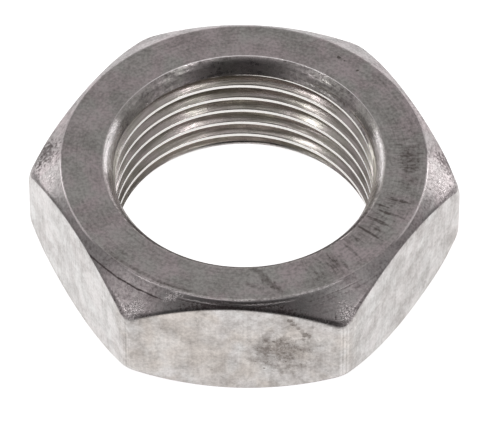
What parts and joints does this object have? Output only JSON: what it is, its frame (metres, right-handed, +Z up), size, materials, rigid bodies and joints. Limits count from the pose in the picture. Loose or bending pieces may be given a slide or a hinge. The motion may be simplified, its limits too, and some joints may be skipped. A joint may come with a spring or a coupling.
{
  "type": "lock nut",
  "caption": "Thin stainless hexagon lock nut with conical chamfers and a countersunk fine-threaded bore, run up against another nut or a wall to lock a threaded fitting.",
  "frame": {"origin": "middle of the lower bearing face, on the thread's axis", "axes": "+Z up along the thread's axis; -Y out of one flat, +X out through a corner"},
  "size_m": [0.0468, 0.041, 0.0144],
  "materials": {
    "lock_nut": "turned and tumbled stainless steel with light stains, fine pits and softened edges"
  },
  "bodies": {
    "root": {"lock_nut": "lock_nut"}
  },
  "joints": []
}
